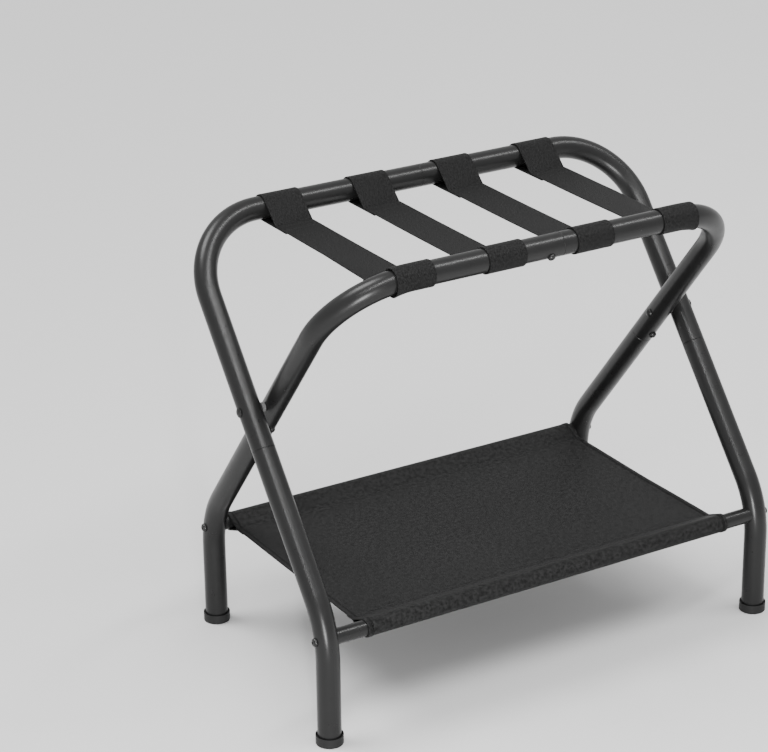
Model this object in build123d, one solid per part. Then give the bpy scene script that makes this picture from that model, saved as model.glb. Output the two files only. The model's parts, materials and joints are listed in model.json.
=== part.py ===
"""Folding luggage rack: two crossed steel tube frames, four webbing straps and a fabric shelf.

Frame: +Z up, +X across the width, +Y towards the back. The origin is on the floor, below the
middle of the rack. All lengths are in millimetres.

The outer frame has its top bar at the back and its feet at the front. The inner frame stands
between the outer frame's legs and is its mirror image from front to back. The two frames turn on
one line of pivot bolts, which runs along X through the middle of the legs' crossing.
"""
import math
import os

from build123d import *

# ---------------------------------------------------------------- driving sizes
TUBE_D = 28.0                # frame tube, outside
TUBE_WALL = 1.0
BAR_D = 19.0                 # shelf bar, outside
BAR_WALL = 1.0

OUTER_SPREAD = 612.0         # outer frame, between the centre lines of its legs
PIVOT_SPACE = 4.4            # between an outer leg and the inner leg beside it
TOP_HALF_DEPTH = 148.0       # top bars, centre line to the middle plane
TOP_HEIGHT = 536.0           # top bars, centre line above the floor
FOOT_HALF_DEPTH = 168.5      # lower legs, centre line to the middle plane
KNEE_HEIGHT = 144.0          # where a leg's two straight runs would meet
CORNER_R = 94.0              # bend from top bar to leg, on the centre line
KNEE_R = 114.0               # bend from leg to lower leg, on the centre line
SHELF_HEIGHT = 131.5         # shelf bars, centre line above the floor

# tube joints: a drawn-down spigot slides into the next tube and a screw holds it
SPIGOT_WALL = 1.0
SPIGOT_CLEARANCE = 0.05      # radial, spigot in tube
SPIGOT_NECK = 1.5            # thickness of the step from tube to spigot
LEG_SPIGOT_LENGTH = 34.0
LEG_SEAM_BELOW_PIVOT = 49.0  # along the leg
LEG_SCREW_ABOVE_SEAM = 14.7  # along the leg
TOP_SPIGOT_LENGTH = 44.0
OUTER_TOP_SEAM_X = 13.0      # seam of the outer frame's top bar, from the middle
INNER_TOP_SEAM_X = 17.5      # seam of the inner frame's top bar, from the middle
TUBE_END_CHAMFER = 0.45

# fasteners
JOINT_SCREW_D = 5.0
JOINT_SCREW_LENGTH = 9.0
JOINT_HEAD_D = 9.6
JOINT_HEAD_HEIGHT = 3.6
SHELF_SCREW_D = 6.0
SHELF_HEAD_D = 10.4
SHELF_HEAD_HEIGHT = 3.2
SHELF_SCREW_GRIP = 16.0      # thread length inside the bar's end plug
SCREW_CLEARANCE = 0.05       # radial, screws and the pivot bolt in what they hold
HEAD_RIM = 0.15              # a screw head's straight side, as a share of its height
HEAD_SHOULDER_OUT = 0.42     # the middle of its curved side, as a share of its diameter
HEAD_SHOULDER_UP = 0.72      # and as a share of its height
HEAD_CROWN = 0.25            # radius of its flat crown, as a share of its diameter
DOME_RIM = 0.2               # a pivot head's straight side, as a share of its height
SOCKET_ACROSS_FLATS = 3.0
SOCKET_DEPTH = 1.6
PLUG_LENGTH = 20.0
PLUG_RECESS = 1.0            # plug's outer face, in from the leg's surface
PLUG_CLEARANCE = 0.05        # radial, plug in bar

# pivots
PIVOT_BOLT_D = 6.0
PIVOT_HEAD_D = 12.0
PIVOT_HEAD_HEIGHT = 2.6
PIVOT_NUT_D = 10.6
PIVOT_NUT_HEIGHT = 3.4
PIVOT_NUT_SKIN = 1.0         # nut's closed end, beyond the end of the bolt
PIVOT_RUNNING_CLEARANCE = 0.08   # radial, bolt in the turning inner leg
PIVOT_END_CLEARANCE = 0.3    # along the axis, each side of the turning inner leg
SPACER_D = 12.0

# feet
FOOT_FLOOR = 3.0             # thickness under the tube's end
FOOT_HEIGHT = 11.5
FOOT_TUBE_CLEARANCE = 0.05   # radial, tube end in the foot's collar
FOOT_COLLAR_WALL = 0.6
FOOT_COLLAR_DROP = 1.6       # collar's top below the rim's top
FOOT_GROOVE = 0.8
FOOT_GROOVE_FLOOR = 4.0      # bottom of the groove above the floor
FOOT_RIM_WALL = 0.85
FOOT_EDGE_R = 1.0
FOOT_PLUG_HEIGHT = 12.0      # hollow plug inside the tube, above the foot's floor
FOOT_PLUG_WALL = 1.6

# webbing straps
STRAP_WIDTH = 50.0
STRAP_THICKNESS = 1.5
STRAP_PITCH = 120.0
STRAP_COUNT = 4
STRAP_CREASE_GAP = 22.0      # from the top bar's surface to where the loop closes
STRAP_CREASE_SOLID = 3.0     # from there to where the loop's opening begins

# fabric shelf
SHELF_LEG_GAP = 3.6          # between the shelf's side edge and the inner leg beside it
FABRIC_THICKNESS = 1.2
SHELF_CREASE_GAP = 16.5      # from the shelf bar's surface to where the sleeve closes
SHELF_CREASE_SOLID = 3.6     # from there to where the sleeve's opening begins

SOFT_CLEARANCE = 0.3         # webbing and fabric to the tube inside them

# ---------------------------------------------------------------- derived sizes
TUBE_R = TUBE_D / 2
TUBE_BORE_R = TUBE_R - TUBE_WALL
SPIGOT_R = TUBE_BORE_R - SPIGOT_CLEARANCE
SPIGOT_BORE_R = SPIGOT_R - SPIGOT_WALL
BAR_R = BAR_D / 2
BAR_BORE_R = BAR_R - BAR_WALL

INNER_SPREAD = OUTER_SPREAD - 2 * (TUBE_D + PIVOT_SPACE)
LEG_RUN = TOP_HALF_DEPTH + FOOT_HALF_DEPTH
LEG_RISE = TOP_HEIGHT - KNEE_HEIGHT
LEG_ANGLE = math.atan2(LEG_RISE, LEG_RUN)
PIVOT_HEIGHT = TOP_HEIGHT - TOP_HALF_DEPTH * LEG_RISE / LEG_RUN

KNEE_TURN = math.pi / 2 - LEG_ANGLE
KNEE_START_HEIGHT = KNEE_HEIGHT - KNEE_R * math.tan(KNEE_TURN / 2)
KNEE_END_HEIGHT = KNEE_START_HEIGHT + KNEE_R * math.sin(KNEE_TURN)

FOOT_R = TUBE_R + FOOT_TUBE_CLEARANCE + FOOT_COLLAR_WALL + FOOT_GROOVE + FOOT_RIM_WALL

STRAP_CREASE = TUBE_R + STRAP_CREASE_GAP
SHELF_CREASE = BAR_R + SHELF_CREASE_GAP
SHELF_WIDTH = INNER_SPREAD - TUBE_D - 2 * SHELF_LEG_GAP

# Each frame: name, spread between its legs, and the side of the middle plane its top bar is on.
FRAMES = (("outer", OUTER_SPREAD, 1), ("inner", INNER_SPREAD, -1))
SIDES = (("left", -1), ("right", 1))


# ---------------------------------------------------------------- places
def leg_point(along, lean):
    """Y and Z of the leg's upper straight run, a distance along it downwards from the pivot."""
    y = -lean * along * math.cos(LEG_ANGLE)
    z = PIVOT_HEIGHT - along * math.sin(LEG_ANGLE)
    return y, z


def shelf_bar_y(lean):
    """Y of the shelf bar, which lies on the leg's centre line below, within or above the knee."""
    if SHELF_HEIGHT > KNEE_END_HEIGHT:
        return -lean * (PIVOT_HEIGHT - SHELF_HEIGHT) / math.tan(LEG_ANGLE)
    rise = max(0.0, SHELF_HEIGHT - KNEE_START_HEIGHT)
    inset = KNEE_R - math.sqrt(KNEE_R**2 - rise**2)
    return -lean * (FOOT_HALF_DEPTH - inset)


# ---------------------------------------------------------------- building blocks
def tube_along(path, radius, bore_radius):
    """A round tube swept along a wire of straight runs and tangent arcs."""
    start = Plane(origin=path @ 0, z_dir=path % 0)
    return sweep(start * (Circle(radius) - Circle(bore_radius)), path=path)


def cylinder_along(start, direction, length, radius):
    """A round bar from a start point along a direction."""
    return extrude(Plane(origin=start, z_dir=direction) * Circle(radius), amount=length)


def end_ring(shape, centre):
    """The outer round edge of a tube's open end."""
    rings = [e for e in shape.edges().filter_by(GeomType.CIRCLE) if abs(e.radius - TUBE_R) < 1e-3]
    return min(rings, key=lambda e: (e.arc_center - Vector(*centre)).length)


def spigot(seam, direction, length):
    """The drawn-down end of a tube: a neck inside the tube and a spigot past its end."""
    base = Vector(*seam) - Vector(*direction) * SPIGOT_NECK
    neck = cylinder_along(base, direction, SPIGOT_NECK, TUBE_BORE_R)
    nose = cylinder_along(seam, direction, length, SPIGOT_R)
    bore = cylinder_along(base, direction, SPIGOT_NECK + length, SPIGOT_BORE_R)
    return neck + nose - bore


def button_screw(shank_d, shank_length, head_d, head_height):
    """A domed screw with a hexagon socket. Its head stands on the XY plane and points along +Z."""
    crown_r = HEAD_CROWN * head_d
    rim = (head_d / 2, HEAD_RIM * head_height)
    shoulder = (HEAD_SHOULDER_OUT * head_d, HEAD_SHOULDER_UP * head_height)
    side = ThreePointArc(rim, shoulder, (crown_r, head_height))
    outline = Polyline((crown_r, head_height), (0, head_height), (0, -shank_length))
    outline += Polyline((0, -shank_length), (shank_d / 2, -shank_length), (shank_d / 2, 0))
    outline += Polyline((shank_d / 2, 0), (head_d / 2, 0), rim)
    solid = revolve(Plane.XZ * make_face(outline.edges() + side.edges()), axis=Axis.Z)
    socket = RegularPolygon(SOCKET_ACROSS_FLATS / 2, 6, major_radius=False)
    return solid - extrude(Pos(0, 0, head_height) * socket, amount=-SOCKET_DEPTH)


def dome(diameter, height):
    """A low domed head standing on the XY plane."""
    rise = height - DOME_RIM * height
    radius = ((diameter / 2) ** 2 + rise**2) / (2 * rise)
    cap = Pos(0, 0, height - radius) * Sphere(radius)
    return cap & (Pos(0, 0, height / 2) * Cylinder(diameter / 2, height))


def place(shape, origin, direction):
    """Move a shape from the XY plane to a point, with its +Z along a direction."""
    return Plane(origin=origin, z_dir=direction) * shape


def drop_tip(bar_y, height, radius, crease_y, crease_z):
    """The pointed side of a drop in the YZ plane, from a circle about a bar to a point beside it."""
    reach = math.hypot(crease_y - bar_y, crease_z - height)
    heading = math.atan2(crease_z - height, crease_y - bar_y)
    spread = math.acos(radius / reach)
    above = Vector(radius * math.cos(heading - spread), radius * math.sin(heading - spread))
    below = Vector(radius * math.cos(heading + spread), radius * math.sin(heading + spread))
    corners = [(crease_y, crease_z), (bar_y + above.X, height + above.Y), (bar_y, height)]
    corners.append((bar_y + below.X, height + below.Y))
    return make_face(Polyline(*corners, close=True))


def extrude_across(section, centre_x, width):
    """Extrude a section drawn with X as the rack's Y and Y as its Z, centred on centre_x."""
    plane = Plane(origin=(centre_x - width / 2, 0, 0), x_dir=(0, 1, 0), z_dir=(1, 0, 0))
    return extrude(plane * section, amount=width)


# ---------------------------------------------------------------- frame tubes
def lower_face(x, y, z, lean):
    """Point on the lower face of a frame's tube, square to the frame, and the outward direction."""
    out_y, out_z = lean * math.sin(LEG_ANGLE), -math.cos(LEG_ANGLE)
    return (x, y + out_y * TUBE_R, z + out_z * TUBE_R), (0, out_y, out_z)


def leg_screw_place(x, lean):
    """Place and outward direction of a leg joint's screw."""
    y, z = leg_point(LEG_SEAM_BELOW_PIVOT - LEG_SCREW_ABOVE_SEAM, lean)
    return lower_face(x, y, z, lean)


def top_screw_place(lean):
    """Place and outward direction of the screw at the middle of a top bar."""
    return lower_face(0, lean * TOP_HALF_DEPTH, TOP_HEIGHT, lean)


def screw_hole(origin, direction, radius, depth):
    """A hole from outside a tube's surface inwards."""
    outside = Vector(*origin) + Vector(*direction) * TUBE_WALL
    return cylinder_along(outside, Vector(*direction) * -1, depth + TUBE_WALL, radius)


def cross_hole(x, y, z, radius):
    """A hole along X right through the tube at x."""
    return cylinder_along((x - TUBE_D, y, z), (1, 0, 0), 2 * TUBE_D, radius)


def upper_tube(spread, lean, side):
    """Half of a frame's top bar, its corner bend and the leg down to the leg seam."""
    x = side * spread / 2
    seam_y, seam_z = leg_point(LEG_SEAM_BELOW_PIVOT, lean)
    seam_x = OUTER_TOP_SEAM_X if lean > 0 else INNER_TOP_SEAM_X
    top_seam = (seam_x, lean * TOP_HALF_DEPTH, TOP_HEIGHT)
    leg_seam = (x, seam_y, seam_z)
    path = FilletPolyline(top_seam, (x, lean * TOP_HALF_DEPTH, TOP_HEIGHT), leg_seam, radius=CORNER_R)
    tube = tube_along(path, TUBE_R, TUBE_BORE_R)
    ends = [end_ring(tube, top_seam), end_ring(tube, leg_seam)]
    tube = chamfer(ends, TUBE_END_CHAMFER)
    if side > 0:
        tube += spigot(top_seam, (-1, 0, 0), TOP_SPIGOT_LENGTH)
    joint_hole_r = JOINT_SCREW_D / 2 + SCREW_CLEARANCE
    tube -= screw_hole(*top_screw_place(lean), joint_hole_r, JOINT_SCREW_LENGTH)
    tube -= screw_hole(*leg_screw_place(x, lean), joint_hole_r, JOINT_SCREW_LENGTH)
    turning = lean < 0
    pivot_clearance = PIVOT_RUNNING_CLEARANCE if turning else SCREW_CLEARANCE
    return tube - cross_hole(x, 0, PIVOT_HEIGHT, PIVOT_BOLT_D / 2 + pivot_clearance)


def lower_leg(spread, lean, side):
    """The leg from its seam through the knee to the foot, with the spigot of the leg joint."""
    x = side * spread / 2
    seam_y, seam_z = leg_point(LEG_SEAM_BELOW_PIVOT, lean)
    seam = (x, seam_y, seam_z)
    foot_y = -lean * FOOT_HALF_DEPTH
    path = FilletPolyline(seam, (x, foot_y, KNEE_HEIGHT), (x, foot_y, FOOT_FLOOR), radius=KNEE_R)
    tube = tube_along(path, TUBE_R, TUBE_BORE_R)
    tube = chamfer([end_ring(tube, seam)], TUBE_END_CHAMFER)
    up_the_leg = (0, lean * math.cos(LEG_ANGLE), math.sin(LEG_ANGLE))
    tube += spigot(seam, up_the_leg, LEG_SPIGOT_LENGTH)
    joint_hole_r = JOINT_SCREW_D / 2 + SCREW_CLEARANCE
    tube -= screw_hole(*leg_screw_place(x, lean), joint_hole_r, JOINT_SCREW_LENGTH)
    return tube - cross_hole(x, shelf_bar_y(lean), SHELF_HEIGHT, SHELF_SCREW_D / 2 + SCREW_CLEARANCE)


def leg_envelope(spread, lean, side):
    """The solid outside shape of a lower leg, to cope the shelf bar's end against."""
    x = side * spread / 2
    foot_y = -lean * FOOT_HALF_DEPTH
    top_y, top_z = leg_point(LEG_SEAM_BELOW_PIVOT, lean)
    ends = (x, top_y, top_z), (x, foot_y, FOOT_FLOOR)
    path = FilletPolyline(ends[0], (x, foot_y, KNEE_HEIGHT), ends[1], radius=KNEE_R)
    start = Plane(origin=path @ 0, z_dir=path % 0)
    return sweep(start * Circle(TUBE_R), path=path)


def foot(spread, lean, side):
    """A moulded foot: a cup with a collar round the tube's end and a hollow plug inside it."""
    collar_bore_r = TUBE_R + FOOT_TUBE_CLEARANCE
    groove_r = collar_bore_r + FOOT_COLLAR_WALL
    rim_bore_r = groove_r + FOOT_GROOVE
    plug_r = TUBE_BORE_R - FOOT_TUBE_CLEARANCE
    body = Pos(0, 0, FOOT_HEIGHT / 2) * Cylinder(FOOT_R, FOOT_HEIGHT)
    body = fillet(body.edges().group_by(Axis.Z)[0], FOOT_EDGE_R)
    above_floor = FOOT_HEIGHT - FOOT_FLOOR
    body -= Pos(0, 0, FOOT_FLOOR + above_floor / 2) * Cylinder(collar_bore_r, above_floor)
    above_groove = FOOT_HEIGHT - FOOT_GROOVE_FLOOR
    groove = Cylinder(rim_bore_r, above_groove) - Cylinder(groove_r, above_groove)
    body -= Pos(0, 0, FOOT_GROOVE_FLOOR + above_groove / 2) * groove
    collar_cut = Cylinder(groove_r, FOOT_COLLAR_DROP)
    body -= Pos(0, 0, FOOT_HEIGHT - FOOT_COLLAR_DROP / 2) * collar_cut
    plug = Cylinder(plug_r, FOOT_PLUG_HEIGHT) - Cylinder(plug_r - FOOT_PLUG_WALL, FOOT_PLUG_HEIGHT)
    body += Pos(0, 0, FOOT_FLOOR + FOOT_PLUG_HEIGHT / 2) * plug
    return Pos(side * spread / 2, -lean * FOOT_HALF_DEPTH, 0) * body


# ---------------------------------------------------------------- shelf bars
def shelf_bar(spread, lean):
    """The round bar between a frame's legs, its ends coped to fit against them."""
    y = shelf_bar_y(lean)
    bar = cylinder_along((-spread / 2, y, SHELF_HEIGHT), (1, 0, 0), spread, BAR_R)
    bar -= cylinder_along((-spread / 2, y, SHELF_HEIGHT), (1, 0, 0), spread, BAR_BORE_R)
    for _, side in SIDES:
        bar -= leg_envelope(spread, lean, side)
    return bar


def shelf_bar_plug(spread, lean, side):
    """The threaded plug pressed into a shelf bar's end."""
    face = side * (spread / 2 - TUBE_R - PLUG_RECESS)
    start = (face, shelf_bar_y(lean), SHELF_HEIGHT)
    inwards = (-side, 0, 0)
    plug = cylinder_along(start, inwards, PLUG_LENGTH, BAR_BORE_R - PLUG_CLEARANCE)
    return plug - cylinder_along(start, inwards, PLUG_LENGTH, SHELF_SCREW_D / 2 + SCREW_CLEARANCE)


def shelf_screw(spread, lean, side):
    """The screw through a leg into the shelf bar's plug."""
    origin = (side * (spread / 2 + TUBE_R), shelf_bar_y(lean), SHELF_HEIGHT)
    length = TUBE_D + PLUG_RECESS + SHELF_SCREW_GRIP
    screw = button_screw(SHELF_SCREW_D, length, SHELF_HEAD_D, SHELF_HEAD_HEIGHT)
    return place(screw, origin, (side, 0, 0))


# ---------------------------------------------------------------- joint screws
def joint_screw(origin, direction):
    """A short screw that holds a spigot in its tube."""
    screw = button_screw(JOINT_SCREW_D, JOINT_SCREW_LENGTH, JOINT_HEAD_D, JOINT_HEAD_HEIGHT)
    return place(screw, origin, direction)


def top_joint_screw(lean):
    """The screw at the middle of a top bar."""
    return joint_screw(*top_screw_place(lean))


def leg_joint_screws(spread, lean):
    """The screws on the lower faces of a frame's two leg joints."""
    return [joint_screw(*leg_screw_place(side * spread / 2, lean)) for _, side in SIDES]


# ---------------------------------------------------------------- pivots
def pivot_bolt(side):
    """The bolt that joins an outer and an inner leg. Its head is on the outside."""
    head_x = OUTER_SPREAD / 2 + TUBE_R
    nut_x = INNER_SPREAD / 2 - TUBE_R - PIVOT_END_CLEARANCE
    bolt_end_x = nut_x - (PIVOT_NUT_HEIGHT - PIVOT_NUT_SKIN)
    origin = (side * head_x, 0, PIVOT_HEIGHT)
    head = place(dome(PIVOT_HEAD_D, PIVOT_HEAD_HEIGHT), origin, (side, 0, 0))
    return head + cylinder_along(origin, (-side, 0, 0), head_x - bolt_end_x, PIVOT_BOLT_D / 2)


def pivot_spacer(side):
    """The washer between the legs. It sits against the outer leg and clears the inner one."""
    start = (side * (OUTER_SPREAD / 2 - TUBE_R), 0, PIVOT_HEIGHT)
    thickness = PIVOT_SPACE - PIVOT_END_CLEARANCE
    ring = cylinder_along(start, (-side, 0, 0), thickness, SPACER_D / 2)
    return ring - cylinder_along(start, (-side, 0, 0), thickness, PIVOT_BOLT_D / 2 + SCREW_CLEARANCE)


def pivot_nut(side):
    """The domed nut on the inside end of a pivot bolt."""
    face_x = INNER_SPREAD / 2 - TUBE_R - PIVOT_END_CLEARANCE
    origin = (side * face_x, 0, PIVOT_HEIGHT)
    nut = place(dome(PIVOT_NUT_D, PIVOT_NUT_HEIGHT), origin, (-side, 0, 0))
    depth = PIVOT_NUT_HEIGHT - PIVOT_NUT_SKIN
    return nut - cylinder_along(origin, (-side, 0, 0), depth, PIVOT_BOLT_D / 2 + SCREW_CLEARANCE)


# ---------------------------------------------------------------- soft parts
def bend_drop(centre_x, spread):
    """How far the underside of a top bar has bent down the leg's direction at a strap's outer edge."""
    past_start = abs(centre_x) + STRAP_WIDTH / 2 - (spread / 2 - CORNER_R)
    underside_r = CORNER_R - TUBE_R - SOFT_CLEARANCE
    return underside_r - math.sqrt(underside_r**2 - past_start**2) if past_start > 0 else 0.0


def bar_section(lean, radius, drop):
    """All the places that a top bar takes within one strap, as seen along X."""
    section = Pos(lean * TOP_HALF_DEPTH, TOP_HEIGHT) * Circle(radius)
    if drop > 0:
        dy, dz = -lean * math.cos(LEG_ANGLE) * drop, -math.sin(LEG_ANGLE) * drop
        middle = Pos(lean * TOP_HALF_DEPTH + dy / 2, TOP_HEIGHT + dz / 2)
        turn = Rot(0, 0, math.degrees(math.atan2(dz, dy)))
        section = middle * turn * SlotCenterToCenter(drop, 2 * radius)
    return section


def strap(centre_x):
    """One webbing strap: flat under both top bars, and looped round each of them."""
    inside_r = TUBE_R + SOFT_CLEARANCE
    outside_r = inside_r + STRAP_THICKNESS
    bottom = TOP_HEIGHT - outside_r
    flat_top = bottom + STRAP_THICKNESS
    body = Pos(0, bottom + STRAP_THICKNESS / 2) * Rectangle(2 * TOP_HALF_DEPTH, STRAP_THICKNESS)
    hollow = Sketch()
    for _, spread, lean in FRAMES:
        drop = bend_drop(centre_x, spread)
        bar_y = lean * TOP_HALF_DEPTH
        crease_y = lean * (TOP_HALF_DEPTH - STRAP_CREASE)
        hollow_crease_y = crease_y + lean * STRAP_CREASE_SOLID
        body += drop_tip(bar_y, TOP_HEIGHT, outside_r, crease_y, flat_top)
        body += bar_section(lean, outside_r, drop)
        hollow += drop_tip(bar_y, TOP_HEIGHT, inside_r, hollow_crease_y, flat_top)
        hollow += bar_section(lean, inside_r, drop)
    return extrude_across(body - hollow, centre_x, STRAP_WIDTH)


def shelf_fabric():
    """The shelf: one panel between the shelf bars, with a sleeve round each of them."""
    inside_r = BAR_R + SOFT_CLEARANCE
    outside_r = inside_r + FABRIC_THICKNESS
    bar_y = shelf_bar_y(-1)
    panel_reach = bar_y - inside_r
    body = Pos(0, SHELF_HEIGHT) * Rectangle(2 * panel_reach, FABRIC_THICKNESS)
    hollow = Sketch()
    for lean in (-1, 1):
        centre = Pos(lean * bar_y, SHELF_HEIGHT)
        crease_y = lean * (bar_y - SHELF_CREASE)
        hollow_crease_y = crease_y + lean * SHELF_CREASE_SOLID
        body += drop_tip(lean * bar_y, SHELF_HEIGHT, outside_r, crease_y, SHELF_HEIGHT)
        body += centre * Circle(outside_r)
        hollow += drop_tip(lean * bar_y, SHELF_HEIGHT, inside_r, hollow_crease_y, SHELF_HEIGHT)
        hollow += centre * Circle(inside_r)
    section = body - hollow
    return extrude_across(section, 0, SHELF_WIDTH)


# ---------------------------------------------------------------- the rack
def frame_parts(name, spread, lean):
    """Every rigid piece of one frame, by node name."""
    parts = {}
    for side_name, side in SIDES:
        label = f"{name}_{side_name}"
        parts[f"{label}_upper_tube"] = upper_tube(spread, lean, side)
        parts[f"{label}_lower_leg"] = lower_leg(spread, lean, side)
        parts[f"{label}_foot"] = foot(spread, lean, side)
        parts[f"{label}_shelf_bar_plug"] = shelf_bar_plug(spread, lean, side)
        parts[f"{label}_shelf_screw"] = shelf_screw(spread, lean, side)
    parts[f"{name}_shelf_bar"] = shelf_bar(spread, lean)
    parts[f"{name}_top_joint_screw"] = top_joint_screw(lean)
    parts[f"{name}_leg_joint_screws"] = Compound(children=leg_joint_screws(spread, lean))
    return parts


def pivot_parts():
    """The bolts, spacers and nuts of the fold joint, by node name."""
    parts = {}
    for side_name, side in SIDES:
        parts[f"{side_name}_pivot_bolt"] = pivot_bolt(side)
        parts[f"{side_name}_pivot_spacer"] = pivot_spacer(side)
        parts[f"{side_name}_pivot_nut"] = pivot_nut(side)
    return parts


def soft_parts():
    """The straps and the shelf, by node name."""
    first_x = -STRAP_PITCH * (STRAP_COUNT - 1) / 2
    parts = {f"strap_{i + 1}": strap(first_x + i * STRAP_PITCH) for i in range(STRAP_COUNT)}
    parts["shelf_fabric"] = shelf_fabric()
    return parts


def main():
    os.makedirs("parts", exist_ok=True)
    parts = {}
    for name, spread, lean in FRAMES:
        parts.update(frame_parts(name, spread, lean))
    parts.update(pivot_parts())
    parts.update(soft_parts())
    for node, shape in parts.items():
        export_step(shape, f"parts/{node}.step")


main()
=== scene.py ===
"""Looks of the folding luggage rack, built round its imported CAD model.

Metres, +Z up, floor at z = 0. The rigid pieces are the CAD's own and only get materials here. The
webbing straps and the cloth shelf are built as sewn sheets in place of their plain CAD solids.
"""

import json
import math

import bmesh
import bpy
from mathutils import Matrix, Vector, noise


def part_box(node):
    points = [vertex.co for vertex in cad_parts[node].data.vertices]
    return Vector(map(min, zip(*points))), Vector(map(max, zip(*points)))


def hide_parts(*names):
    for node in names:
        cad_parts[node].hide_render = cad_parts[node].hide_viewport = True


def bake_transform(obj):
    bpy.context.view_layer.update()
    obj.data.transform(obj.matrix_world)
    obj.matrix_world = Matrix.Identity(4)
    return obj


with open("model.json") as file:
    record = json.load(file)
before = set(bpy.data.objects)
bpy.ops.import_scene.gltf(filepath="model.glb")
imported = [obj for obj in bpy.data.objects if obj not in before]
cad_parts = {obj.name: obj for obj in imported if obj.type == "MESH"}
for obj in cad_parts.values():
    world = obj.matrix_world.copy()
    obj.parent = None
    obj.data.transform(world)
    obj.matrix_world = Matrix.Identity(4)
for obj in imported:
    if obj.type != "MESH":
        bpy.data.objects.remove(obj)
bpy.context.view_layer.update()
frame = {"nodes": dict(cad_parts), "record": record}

MM = 0.001


# ---------------------------------------------------------------- sizes read from the frame
def centre(node):
    """Middle of a CAD node's box."""
    low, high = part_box(node)
    return (low + high) / 2


def span(node):
    """Size of a CAD node's box."""
    low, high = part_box(node)
    return high - low


TUBE_R = span("outer_left_lower_leg").x / 2
TOP_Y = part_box("outer_left_upper_tube")[1].y - TUBE_R
TOP_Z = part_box("outer_left_upper_tube")[1].z - TUBE_R
INNER_LEG_X = centre("inner_right_lower_leg").x
OUTER_LEG_X = centre("outer_right_lower_leg").x
BAR_R = span("inner_shelf_bar").z / 2
BAR_Y = centre("inner_shelf_bar").y
BAR_Z = centre("inner_shelf_bar").z
LEG_SLOPE = math.atan2(
    centre("inner_leg_joint_screws").z - TOP_Z, centre("inner_leg_joint_screws").y + TOP_Y
)

# ---------------------------------------------------------------- sizes of the soft parts
CORNER_R = 94 * MM               # top bars' corner bends, on the tube's centre line
CLOTH_GAP = 0.3 * MM             # between a tube and the cloth round it

WEBBING_THICK = 1.5 * MM
WEBBING_CREASE = 36 * MM         # from a top bar's centre line to where its loop closes
WEBBING_OVERLAP = 24 * MM        # sewn end under the strap, past the crease
WEBBING_CREASE_R = 2.5 * MM
WEBBING_SAG = 0.4 * MM
WEBBING_ENDS_GAP = 0.05 * MM     # between a strap and its sewn end
WEBBING_COLUMNS = 24             # faces across a strap
SELVEDGE = 2.2 * MM              # raised edge of the webbing
SELVEDGE_RISE = 0.1 * MM
LOOP_TOP_FOLLOWS = 0.25          # share of a bar's bend that the top of a loop follows

CLOTH_THICK = 0.8 * MM
CLOTH_CREASE = 26 * MM
CLOTH_OVERLAP = 13 * MM
CLOTH_CREASE_R = 4 * MM
CLOTH_SAG = 1.2 * MM
CLOTH_BOW = 0.4 * MM             # how far the free side edges draw in at the middle
CLOTH_EDGE_TAUT = 0.45           # share of the sag that the side edges lack
CLOTH_RIPPLE = 0.5 * MM
CLOTH_COLUMNS = 64               # faces across the shelf
HEM = 7 * MM
HEM_RISE = 0.6 * MM
HEM_STEP = 0.6 * MM              # half the width of the step up to a hem
HEM_SEAM = 0.7 * MM              # half the width of a pressed-in seam
HEM_SEAM_DEPTH = 0.55            # share of the hem's rise
HEM_STITCH = span("shelf_fabric").x / 2 - HEM + 1.2 * MM     # from the middle of the shelf

STITCH_LENGTH = 2.5 * MM
STITCH_PITCH = 3.2 * MM
THREAD_R = 0.24 * MM
THREAD_SIDES = 6
# A stitch's rings: place along it in its lengths, then size and height in the thread's radii.
STITCH_RINGS = (
    (-0.5, 0.35, -0.7), (-0.3, 1, 0.2), (0, 1.05, 0.35), (0.3, 1, 0.2), (0.5, 0.35, -0.7)
)
STRAP_ROW_INSET = 3 * MM         # from a strap's side edge to a row's end
STRAP_ROW_START = 7 * MM         # first row, past the crease
STRAP_ROW_END = 4 * MM           # second row, before the sewn end
SLEEVE_ROW = 6 * MM              # row along a shelf sleeve, past the crease

WEBBING_STEP = 4 * MM            # between a strap's rings on a straight stretch
CLOTH_STEP = 5 * MM
ROUND_STEP = math.radians(7)     # between rings round a bar
CREASE_STEP = math.radians(8)
SAME_PLACE = 1e-5
SAME_HEIGHT = 1e-6


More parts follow.
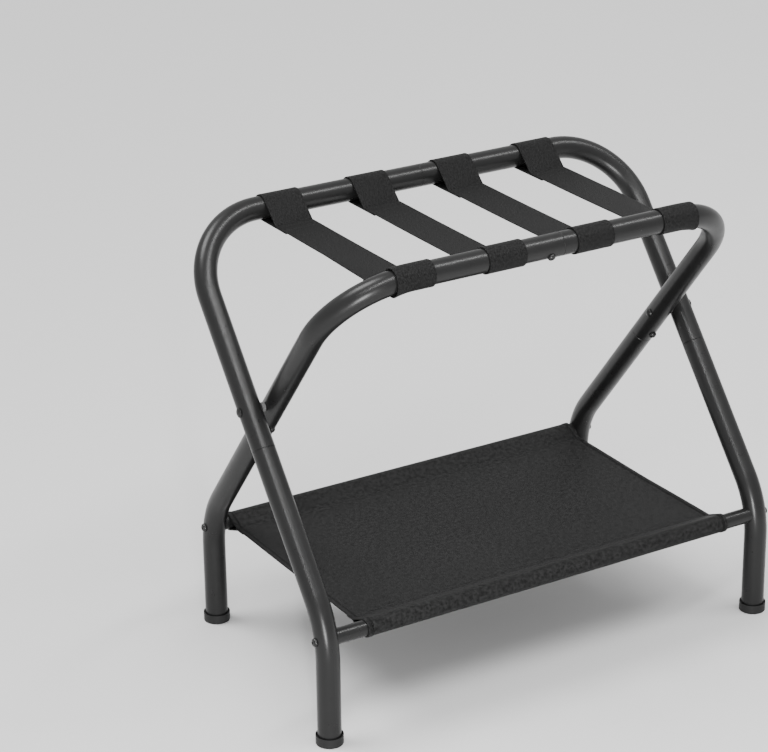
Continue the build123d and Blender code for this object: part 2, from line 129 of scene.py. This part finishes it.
# ---------------------------------------------------------------- node trees
class Tree:
    """A material's node tree, with one short method for each kind of node used here."""

    def __init__(self, name):
        self.material = bpy.data.materials.new(name)
        self.material.use_nodes = True
        self.nodes = self.material.node_tree.nodes
        self.links = self.material.node_tree.links
        self.shader = next(n for n in self.nodes if n.type == "BSDF_PRINCIPLED")

    def put(self, socket, value):
        """Set a socket to a constant, or link it to another node's output."""
        if isinstance(value, bpy.types.NodeSocket):
            self.links.new(value, socket)
        elif value is not None:
            socket.default_value = value

    def math(self, operation, a, b=None, c=None):
        """A sum, product or other operation on up to three values."""
        node = self.nodes.new("ShaderNodeMath")
        node.operation = operation
        for socket, value in zip(node.inputs, (a, b, c)):
            self.put(socket, value)
        return node.outputs[0]

    def place(self):
        """Coordinates in metres in the piece's own space, which is the rack's frame."""
        return self.nodes.new("ShaderNodeTexCoord").outputs["Object"]

    def cloth_place(self):
        """Distance across a strip of cloth and distance along it, in metres."""
        node = self.nodes.new("ShaderNodeUVMap")
        node.uv_map = "cloth"
        split = self.nodes.new("ShaderNodeSeparateXYZ")
        self.links.new(node.outputs["UV"], split.inputs[0])
        return node.outputs["UV"], split.outputs["X"], split.outputs["Y"]

    def noise(self, where, size, detail=2.0, roughness=0.5):
        """Noise with features about one size across, from 0 to 1."""
        node = self.nodes.new("ShaderNodeTexNoise")
        self.put(node.inputs["Vector"], where)
        self.put(node.inputs["Scale"], 1 / size)
        self.put(node.inputs["Detail"], detail)
        self.put(node.inputs["Roughness"], roughness)
        return node.outputs["Fac"]

    def ramp(self, value, low, high, first, last):
        """Map value from low..high to first..last."""
        node = self.nodes.new("ShaderNodeMapRange")
        for socket, number in zip(node.inputs, (value, low, high, first, last)):
            self.put(socket, number)
        return node.outputs[0]

    def mix(self, factor, first, second):
        """A colour between two colours."""
        node = self.nodes.new("ShaderNodeMix")
        node.data_type = "RGBA"
        self.put(node.inputs["Factor"], factor)
        self.put(node.inputs["A"], first)
        self.put(node.inputs["B"], second)
        return node.outputs["Result"]

    def bump(self, height, depth, below=None):
        """A bump of a height from 0 to 1 that is depth metres deep."""
        node = self.nodes.new("ShaderNodeBump")
        self.put(node.inputs["Height"], height)
        self.put(node.inputs["Distance"], depth)
        self.put(node.inputs["Strength"], 1.0)
        self.put(node.inputs["Normal"], below)
        return node.outputs[0]

    def finish(self, **sockets):
        """Set the shader's sockets by name, with _ for a space, and return the material."""
        for name, value in sockets.items():
            self.put(self.shader.inputs[name.replace("_", " ")], value)
        return self.material


def grey(value):
    """A neutral colour."""
    return (value, value, value, 1)


# ---------------------------------------------------------------- materials
def powder_coat(name, shade, roughness):
    """Satin powder coat: a fine orange-peel surface with faint cloudiness in its gloss."""
    t = Tree(name)
    where = t.place()
    cloud = t.noise(where, 30 * MM, 3)
    peel = t.noise(where, 0.9 * MM, 2)
    grain = t.noise(where, 0.25 * MM, 1)
    colour = t.mix(cloud, grey(shade * 0.9), grey(shade * 1.12))
    rough = t.ramp(t.noise(where, 12 * MM, 3), 0.3, 0.7, roughness - 0.03, roughness + 0.04)
    height = t.math("MULTIPLY_ADD", grain, 0.15, peel)
    return t.finish(
        Base_Color=colour, Roughness=rough, Specular_IOR_Level=0.28, Normal=t.bump(height, 0.0012 * MM)
    )


def plated_steel(name, shade, roughness):
    """Blackened steel of the screws and pivots, rubbed a little lighter in places."""
    t = Tree(name)
    where = t.place()
    rub = t.ramp(t.noise(where, 2.5 * MM, 4, 0.65), 0.45, 0.7, 0.0, 1.0)
    colour = t.mix(rub, grey(shade), grey(shade * 1.9))
    rough = t.ramp(t.noise(where, 1 * MM, 2), 0.3, 0.7, roughness - 0.05, roughness + 0.08)
    height = t.noise(where, 0.2 * MM, 2)
    return t.finish(Base_Color=colour, Metallic=0.85, Roughness=rough, Normal=t.bump(height, 0.01 * MM))


def moulded_plastic(name, shade, roughness, grain_size):
    """Matte moulded plastic with a fine spark-eroded grain."""
    t = Tree(name)
    where = t.place()
    grain = t.noise(where, grain_size, 3, 0.7)
    colour = t.mix(t.noise(where, 8 * MM, 3), grey(shade * 0.9), grey(shade * 1.12))
    rough = t.ramp(grain, 0.3, 0.7, roughness - 0.06, roughness + 0.06)
    return t.finish(
        Base_Color=colour, Roughness=rough, Specular_IOR_Level=0.2, Normal=t.bump(grain, 0.03 * MM)
    )


def woven(name, shade, gloss, yarn, pick, relief, fleck, seam=None):
    """Plain weave: yarns along the strip a yarn apart, crossed by picks a pick apart.

    Its shade is flecked with lighter and darker yarn, a fleck across. The colour is darkened as
    painted shade in the low places between the yarns. A seam is a pair of pressed-in lines, that far
    each side of the strip's middle, and its colour is darkened there as a painted shadow.
    """
    t = Tree(name)
    where, across, along = t.cloth_place()
    wander = t.math("MULTIPLY_ADD", t.noise(where, 9 * MM, 2), yarn * 0.5, across)
    warp = t.math("SINE", t.math("MULTIPLY", wander, math.pi / yarn))
    weft = t.math("SINE", t.math("MULTIPLY", along, math.pi / pick))
    crossing = t.math("MULTIPLY", warp, weft)
    rib = t.math("ABSOLUTE", warp)
    height = t.math("MULTIPLY_ADD", crossing, 0.35, t.math("MULTIPLY", rib, 0.65))
    fibre = t.noise(where, yarn * 0.35, 2)
    height = t.math("MULTIPLY_ADD", fibre, 0.25, height)
    # Painted shade: the colour falls to a third of the yarn's shade where the weave is low, between the
    # yarns.
    groove_shade = t.ramp(height, -0.1, 0.75, 0.0, 1.0)
    heather = t.ramp(t.noise(where, fleck, 5, 0.8), 0.4, 0.6, 0.0, 1.0)
    light = t.mix(heather, grey(shade * 0.35), grey(shade * 2.2))
    colour = t.mix(groove_shade, grey(shade * 0.3), light)
    if seam:
        # Painted shadow: the colour goes nearly black within 0.7 mm of each seam line and fades out by
        # 1.6 mm, as shade in the pressed-in groove.
        off = t.math("ABSOLUTE", t.math("SUBTRACT", t.math("ABSOLUTE", across), seam))
        colour = t.mix(t.ramp(off, 0.7 * MM, 1.6 * MM, 0.0, 1.0), grey(shade * 0.05), colour)
    return t.finish(
        Base_Color=colour,
        Roughness=t.ramp(heather, 0.0, 1.0, 0.42, 0.56),
        Specular_IOR_Level=gloss,
        Sheen_Weight=0.01,
        Sheen_Roughness=0.45,
        Normal=t.bump(height, relief),
    )


def sewing_thread(name, shade):
    """Twisted polyester thread."""
    t = Tree(name)
    where = t.place()
    fibre = t.noise(where, 0.12 * MM, 2)
    colour = t.mix(fibre, grey(shade * 0.7), grey(shade * 1.3))
    return t.finish(
        Base_Color=colour, Roughness=0.55, Specular_IOR_Level=0.3, Normal=t.bump(fibre, 0.03 * MM)
    )


def make_materials():
    """Every material of the rack, by the record's slot where it has one."""
    return {
        "frame_steel": powder_coat("powder_coat_frame", shade=0.0085, roughness=0.30),
        "bar_steel": powder_coat("powder_coat_bars", shade=0.0085, roughness=0.29),
        "screw_steel": plated_steel("screws", shade=0.03, roughness=0.30),
        "pivot_steel": plated_steel("pivots", shade=0.03, roughness=0.34),
        "spacer_plastic": moulded_plastic("spacers", shade=0.09, roughness=0.5, grain_size=0.3 * MM),
        "plug_plastic": moulded_plastic("plugs", shade=0.02, roughness=0.5, grain_size=0.3 * MM),
        "foot_plastic": moulded_plastic("feet", shade=0.012, roughness=0.52, grain_size=0.35 * MM),
        "webbing": woven(
            "webbing", shade=0.0105, gloss=0.05,
            yarn=1.3 * MM, pick=2.0 * MM, relief=0.3 * MM, fleck=2.2 * MM,
        ),
        "shelf_cloth": woven(
            "shelf_cloth", shade=0.0115, gloss=0.07,
            yarn=0.8 * MM, pick=0.8 * MM, relief=0.2 * MM, fleck=5 * MM, seam=HEM_STITCH,
        ),
        "thread": sewing_thread("thread", shade=0.012),
    }


def paint_cad_nodes(materials):
    """Give every rigid CAD node the material of its slot in the record."""
    for part in frame["record"]["subparts"]:
        for slot in frame["nodes"][part["node"]].material_slots:
            slot.material = materials[part["material_slot"]]


# ---------------------------------------------------------------- lines in the YZ plane
def line_to(points, end, step):
    """Extend a list of points straight to end, in steps no longer than step."""
    start = points[-1]
    count = max(1, math.ceil((end - start).length / step))
    points.extend(start.lerp(end, i / count) for i in range(1, count + 1))


def arc_to(points, middle, radius, first, last, step):
    """Extend a list of points along an arc about middle, from one angle to another."""
    count = max(2, math.ceil(abs(last - first) / step))
    angles = [first + (last - first) * i / count for i in range(count + 1)]
    points.extend(middle + radius * Vector((math.cos(a), math.sin(a))) for a in angles)


def corner_to(points, corner, end, radius, step):
    """Extend a list of points round a corner, along an arc that is tangent to both its sides."""
    into = (corner - points[-1]).normalized()
    out = (end - corner).normalized()
    turn = into.angle_signed(out)
    reach = radius * math.tan(abs(turn) / 2)
    start = corner - into * reach
    side = Vector((into.y, -into.x)) if turn > 0 else Vector((-into.y, into.x))
    middle = start + side * radius
    first = math.atan2(*(start - middle).yx)
    line_to(points, start, step)
    arc_to(points, middle, radius, first, first - turn, CREASE_STEP)


def loop_half(bar_y, bar_z, radius, flat_z, crease, overlap, crease_r, step):
    """Centre line of a sheet from the middle of the rack to a bar at +Y, round the bar and back.

    The sheet rises from a crease, goes over the bar and round its outside, and comes back under
    it to end below itself, an overlap past the crease.
    """
    bar = Vector((bar_y, bar_z))
    fold = Vector((bar_y - crease, flat_z))
    away = fold - bar
    top_angle = math.atan2(away.y, away.x) % math.tau - math.acos(radius / away.length)
    touch = bar + radius * Vector((math.cos(top_angle), math.sin(top_angle)))
    points = [Vector((0.0, flat_z))]
    line_to(points, Vector((fold.x - crease_r * 2, flat_z)), step)
    corner_to(points, fold, touch, crease_r, step)
    line_to(points, touch, step)
    arc_to(points, bar, radius, top_angle, -math.pi / 2, ROUND_STEP)
    line_to(points, Vector((fold.x - overlap, bar_z - radius)), step)
    return points


def both_halves(half):
    """Join a half line to its mirror image, from the end at -Y to the end at +Y."""
    mirrored = [Vector((-p.x, p.y)) for p in reversed(half)]
    points = mirrored + half[1:]
    kept = [points[0]]
    for point in points[1:]:
        if (point - kept[-1]).length > SAME_PLACE:
            kept.append(point)
    return kept


def distances(points):
    """Distance along a line at each of its points."""
    total = [0.0]
    for before, after in zip(points, points[1:]):
        total.append(total[-1] + (after - before).length)
    return total


def normals(points):
    """Unit normals of a line, to the left of its direction."""
    found = []
    for i in range(len(points)):
        along = points[min(i + 1, len(points) - 1)] - points[max(i - 1, 0)]
        found.append(Vector((-along.y, along.x)).normalized())
    return found


# ---------------------------------------------------------------- sheets and stitches
def sheet_section(half_width, thickness, columns):
    """Outline of a sheet's cross-section: places across it, and its faces' heights there.

    The first and last columns are the middle of the rounded side edges.
    """
    edge = thickness(half_width)
    rounding = [(math.cos(a), math.sin(a)) for a in (math.radians(d) for d in (180, 150, 120))]
    left = [(-half_width + edge * (1 + c), edge * s) for c, s in rounding]
    inner = half_width - edge
    across = [-inner + 2 * inner * i / columns for i in range(columns + 1)]
    flat = [(x, thickness(x)) for x in across]
    right = [(-x, h) for x, h in reversed(left)]
    return left + flat + right


def sheet_mesh(name, middle_x, points, section, shift, material):
    """Sweep a section along a line in the YZ plane into a closed sheet.

    Its UV map holds metres across and along. shift(x, y, z) moves each point to its final place.
    """
    rim = len(section)
    loop = [(x, h) for x, h in section] + [(x, -h) for x, h in reversed(section[1:-1])]
    along = distances(points)
    mesh = bmesh.new()
    rings = []
    for point, normal in zip(points, normals(points)):
        ring = []
        for x, h in loop:
            place = Vector((middle_x + x, point.x + normal.x * h, point.y + normal.y * h))
            ring.append(mesh.verts.new(shift(place)))
        rings.append(ring)
    count = len(loop)
    map_layer = mesh.loops.layers.uv.new("cloth")
    spots = {}
    for i, ring in enumerate(rings):
        for j, vert in enumerate(ring):
            spots[vert] = (loop[j][0], along[i])
    for before, after in zip(rings, rings[1:]):
        for j in range(count):
            k = (j + 1) % count
            mesh.faces.new((before[j], before[k], after[k], after[j]))
    for ring, order in ((rings[0], 1), (rings[-1], -1)):
        for j in range(rim - 1):
            corners = [ring[j], ring[-j % count], ring[(-j - 1) % count], ring[j + 1]]
            corners = list(dict.fromkeys(corners))
            mesh.faces.new(corners[::order])
    for face in mesh.faces:
        face.smooth = True
        for corner in face.loops:
            corner[map_layer].uv = spots[corner.vert]
    bmesh.ops.recalc_face_normals(mesh, faces=mesh.faces)
    return finish_mesh(name, mesh, material)


def finish_mesh(name, mesh, material):
    """Turn a bmesh into an object in the scene."""
    data = bpy.data.meshes.new(name)
    mesh.to_mesh(data)
    mesh.free()
    data.materials.append(material)
    piece = bpy.data.objects.new(name, data)
    bpy.context.scene.collection.objects.link(piece)
    return piece


def add_stitch(mesh, place, along, up):
    """One stitch: a short thread that dips into the cloth at both its ends."""
    side = along.cross(up)
    rings = []
    for step, size, height in STITCH_RINGS:
        middle = place + along * (STITCH_LENGTH * step) + up * (THREAD_R * height)
        ring = []
        for i in range(THREAD_SIDES):
            a = i * math.tau / THREAD_SIDES
            out = side * math.cos(a) + up * math.sin(a)
            ring.append(mesh.verts.new(middle + out * THREAD_R * size))
        rings.append(ring)
    for before, after in zip(rings, rings[1:]):
        for i in range(THREAD_SIDES):
            k = (i + 1) % THREAD_SIDES
            mesh.faces.new((before[i], before[k], after[k], after[i]))
    mesh.faces.new(rings[0][::-1])
    mesh.faces.new(rings[-1])


def stitch_line(mesh, places, ups):
    """Stitches at an even pitch along a line of places, each with its outward direction."""
    walked = 0.0
    due = STITCH_PITCH / 2
    for before, after, up in zip(places, places[1:], ups):
        length = (after - before).length
        while due <= walked + length:
            share = (due - walked) / length
            add_stitch(mesh, before.lerp(after, share), (after - before).normalized(), up)
            due += STITCH_PITCH
        walked += length


def stitching(name, rows, material):
    """One piece with several rows of stitches. A row is its places and outward directions."""
    mesh = bmesh.new()
    for places, ups in rows:
        stitch_line(mesh, places, ups)
    for face in mesh.faces:
        face.smooth = True
    bmesh.ops.recalc_face_normals(mesh, faces=mesh.faces)
    return finish_mesh(name, mesh, material)


def row_across(low_x, high_x, y, z, up_z, shift, step=10 * MM):
    """A row of stitches along X on a flat stretch, on its upper or lower face."""
    count = math.ceil((high_x - low_x) / step)
    places = [shift(Vector((low_x + (high_x - low_x) * i / count, y, z))) for i in range(count + 1)]
    return places, [Vector((0, 0, up_z))] * count


# ---------------------------------------------------------------- straps
def bend_drop(x, leg_x, radius):
    """How far a top bar's surface has bent down the leg's direction at x."""
    past = abs(x) - (leg_x - CORNER_R)
    return radius - math.sqrt(radius**2 - past**2) if past > 0 else 0.0


def follow_bends(place):
    """Push a strap down where the bar inside its loop has begun to bend towards the leg."""
    leg_x = OUTER_LEG_X if place.y > 0 else INNER_LEG_X
    drop = bend_drop(place.x, leg_x, CORNER_R - TUBE_R)
    if drop == 0:
        return place
    level = (place.z - TOP_Z) / (TUBE_R + WEBBING_THICK)
    below = 1 - smooth(-0.9, 1.0, level)
    near = min(1.0, abs(place.y) / (TOP_Y - WEBBING_CREASE))
    follows = LOOP_TOP_FOLLOWS + (1 - LOOP_TOP_FOLLOWS) * below
    fall = drop * math.sin(abs(LEG_SLOPE)) * follows * near
    return place - Vector((0, 0, fall))


def smooth(low, high, value):
    """Smooth step from 0 at low to 1 at high."""
    t = min(1.0, max(0.0, (value - low) / (high - low)))
    return t * t * (3 - 2 * t)


def webbing_line():
    """The straps' centre line, and the heights of the strap and of its sewn ends."""
    radius = TUBE_R + CLOTH_GAP + WEBBING_THICK / 2
    low_z = TOP_Z - radius
    flat_z = low_z + WEBBING_THICK + WEBBING_ENDS_GAP
    half = loop_half(
        TOP_Y, TOP_Z, radius, flat_z,
        WEBBING_CREASE, WEBBING_OVERLAP, WEBBING_CREASE_R, WEBBING_STEP,
    )
    free = TOP_Y - WEBBING_CREASE - WEBBING_OVERLAP
    for point in half:
        if point.x < free and abs(point.y - flat_z) < SAME_HEIGHT:
            point.y -= WEBBING_SAG * (1 - (point.x / free) ** 2)
    return both_halves(half), flat_z, low_z


def make_strap(number, points, flat_z, low_z, materials):
    """One webbing strap with the rows of stitches that close its two loops."""
    node = f"strap_{number}"
    middle_x = centre(node).x
    half_width = span(node).x / 2
    rise_from = half_width - SELVEDGE

    def thickness(x):
        return WEBBING_THICK / 2 + SELVEDGE_RISE * smooth(rise_from - SELVEDGE, rise_from, abs(x))

    section = sheet_section(half_width, thickness, WEBBING_COLUMNS)
    strap = sheet_mesh(f"{node}_webbing", middle_x, points, section, follow_bends, materials["webbing"])
    low_x = middle_x - half_width + STRAP_ROW_INSET
    high_x = middle_x + half_width - STRAP_ROW_INSET
    rows = []
    for side in (-1, 1):
        for past_crease in (STRAP_ROW_START, WEBBING_OVERLAP - STRAP_ROW_END):
            y = side * (TOP_Y - WEBBING_CREASE - past_crease)
            for z, up in ((flat_z + WEBBING_THICK / 2, 1), (low_z - WEBBING_THICK / 2, -1)):
                rows.append(row_across(low_x, high_x, y, z, up, follow_bends))
    thread = stitching(f"{node}_stitching", rows, materials["thread"])
    for piece in (strap, thread):
        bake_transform(piece)
    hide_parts(node)
    distances(points)[-1]


# ---------------------------------------------------------------- shelf
def cloth_line():
    """The shelf's centre line, and the heights of the panel and of its sewn ends."""
    radius = BAR_R + CLOTH_GAP + CLOTH_THICK / 2 + HEM_RISE / 2
    half = loop_half(BAR_Y, BAR_Z, radius, BAR_Z, CLOTH_CREASE, 0.0, CLOTH_CREASE_R, CLOTH_STEP)
    while half[-1].y < BAR_Z and half[-1].x < BAR_Y - 0.1 * MM:
        half.pop()
    low_z = BAR_Z - CLOTH_THICK - HEM_RISE
    fold = Vector((BAR_Y - CLOTH_CREASE, low_z))
    bar = Vector((BAR_Y, BAR_Z))
    away = fold - bar
    under_angle = math.atan2(away.y, away.x) + math.acos(radius / away.length)
    arc_to(half, bar, radius, -math.pi / 2, under_angle, ROUND_STEP)
    end = Vector((fold.x - CLOTH_OVERLAP, low_z))
    corner_to(half, fold, end, CLOTH_CREASE_R, CLOTH_STEP)
    line_to(half, end, CLOTH_STEP)
    return both_halves(half), low_z


def hang(place):
    """Let the shelf's panel sag a little and draw its free side edges in."""
    free = BAR_Y - CLOTH_CREASE - CLOTH_OVERLAP
    along = place.y / free
    if abs(along) >= 1:
        return place
    belly = (1 - along**2) ** 2
    half_width = span("shelf_fabric").x / 2
    across = place.x / half_width
    ripple = noise.noise(Vector((place.x * 9, place.y * 14, 3.7))) * CLOTH_RIPPLE
    sag = CLOTH_SAG * belly * (1 - CLOTH_EDGE_TAUT * across**2) - ripple * belly
    return Vector((place.x - CLOTH_BOW * belly * across**3, place.y, place.z - sag))


def make_shelf(materials):
    """The cloth shelf: a panel with a sleeve round each shelf bar, hems and stitching."""
    points, low_z = cloth_line()
    half_width = span("shelf_fabric").x / 2
    hem_line = half_width - HEM

    def thickness(x):
        hem = smooth(hem_line - HEM_STEP, hem_line + HEM_STEP, abs(x))
        seam = 1 - min(1.0, abs(abs(x) - HEM_STITCH) / HEM_SEAM)
        return CLOTH_THICK / 2 + HEM_RISE * (hem - HEM_SEAM_DEPTH * seam)

    section = hem_section(half_width, hem_line, thickness)
    shelf = sheet_mesh("shelf_cloth_panel", 0.0, points, section, hang, materials["shelf_cloth"])
    rows = []
    face = CLOTH_THICK / 2
    for side in (-1, 1):
        y = side * (BAR_Y - CLOTH_CREASE - SLEEVE_ROW)
        for z, up in ((BAR_Z + face, 1), (low_z - face, -1)):
            rows.append(row_across(-hem_line, hem_line, y, z, up, hang))
        rows.extend(hem_rows(points, side * HEM_STITCH, thickness(HEM_STITCH)))
    thread = stitching("shelf_stitching", rows, materials["thread"])
    for piece in (shelf, thread):
        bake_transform(piece)
    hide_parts("shelf_fabric")
    distances(points)[-1]


def hem_section(half_width, hem_line, thickness):
    """The shelf's cross-section, with close columns at the hems."""
    section = sheet_section(half_width, thickness, CLOTH_COLUMNS)
    close = [hem_line + d * MM for d in (-0.6, -0.2, 0.2, 0.6, 0.9, 1.2, 1.5, 1.8, 2.4)]
    for x in close:
        section.append((x, thickness(x)))
        section.append((-x, thickness(x)))
    edge = thickness(half_width)
    corners = [s for s in section if abs(s[0]) > half_width - edge - 1e-9]
    flat = sorted(set(section) - set(corners))
    left = [s for s in corners if s[0] < 0]
    right = [s for s in corners if s[0] > 0]
    return sorted(left) + flat + sorted(right)


def hem_rows(points, x, height):
    """Stitches along a side hem, on both faces of the cloth."""
    rows = []
    for face in (1, -1):
        places = []
        ups = []
        for point, normal in zip(points, normals(points)):
            out = Vector((0, normal.x, normal.y)) * face
            places.append(hang(Vector((x, point.x, point.y)) + out * height))
            ups.append(out)
        rows.append((places, ups[:-1]))
    return rows


# ---------------------------------------------------------------- stage
def aim_light(data, place, aim, along):
    """Put a light at a place, turned towards a point, with its width in a given direction."""
    back = (Vector(place) - Vector(aim)).normalized()
    up = back.cross(Vector(along)).normalized()
    lamp = bpy.data.objects.new(data.name, data)
    turn = Matrix((up.cross(back), up, back)).transposed()
    lamp.matrix_world = Matrix.Translation(place) @ turn.to_4x4()
    bpy.context.scene.collection.objects.link(lamp)


def strip_light(name, place, aim, along, length, width, power):
    """A rectangular light whose length runs in a given direction."""
    data = bpy.data.lights.new(name, "AREA")
    data.shape = "RECTANGLE"
    data.size, data.size_y = length, width
    data.energy = power
    aim_light(data, place, aim, along)


def far_light(name, direction, spread, strength):
    """An even light from far away, as wide in the sky as its spread in degrees."""
    data = bpy.data.lights.new(name, "SUN")
    data.angle = math.radians(spread)
    data.energy = strength
    aim_light(data, direction, (0, 0, 0), (1, 0, 0))


def make_floor():
    """A plain pale floor."""
    t = Tree("floor")
    material = t.finish(Base_Color=(0.6, 0.6, 0.6, 1), Roughness=0.95, Specular_IOR_Level=0.0)
    mesh = bmesh.new()
    bmesh.ops.create_grid(mesh, x_segments=1, y_segments=1, size=12)
    floor = finish_mesh("floor", mesh, material)


def make_world():
    """Even pale light from all round."""
    world = bpy.data.worlds.new("studio")
    world.use_nodes = True
    background = next(n for n in world.node_tree.nodes if n.type == "BACKGROUND")
    background.inputs["Color"].default_value = (1, 1, 1, 1)
    background.inputs["Strength"].default_value = 0.9
    bpy.context.scene.world = world


def make_lights():
    """Soft light from above and behind, and strips that draw the highlights along the tubes."""
    middle = (0, 0, 0.3)
    far_light("key", (-0.35, 0.3, 0.9), 30, 3.0)
    strip_light("high_strip", (0.1, -1.35, 2.75), middle, (3.2, 0.6, 0.9), 4.8, 0.3, 115)
    strip_light("low_strip", (-1.24, -2.06, 0.37), middle, (0, 0, 1), 0.6, 0.1, 50)


def make_camera():
    """A long lens from the front left, above the rack."""
    yaw = math.radians(30.899)       # from +Y towards +X
    pitch = math.radians(22.612)     # below the horizon
    roll = math.radians(-0.7345)
    data = bpy.data.cameras.new("camera")
    data.sensor_width = 36
    data.lens = 124.06
    data.clip_start, data.clip_end = 0.05, 50
    camera = bpy.data.objects.new("camera", data)
    heading = Matrix.Rotation(-yaw, 4, "Z") @ Matrix.Rotation(math.pi / 2 - pitch, 4, "X")
    place = Matrix.Translation((-1.60196, -2.46523, 1.55133))
    camera.matrix_world = place @ heading @ Matrix.Rotation(roll, 4, "Z")
    bpy.context.scene.collection.objects.link(camera)
    bpy.context.scene.camera = camera


# ---------------------------------------------------------------- the scene
materials = make_materials()
paint_cad_nodes(materials)
strap_points, strap_flat_z, strap_low_z = webbing_line()
for strap_number in range(1, 5):
    make_strap(strap_number, strap_points, strap_flat_z, strap_low_z, materials)
make_shelf(materials)
make_floor()
make_world()
make_lights()
make_camera()
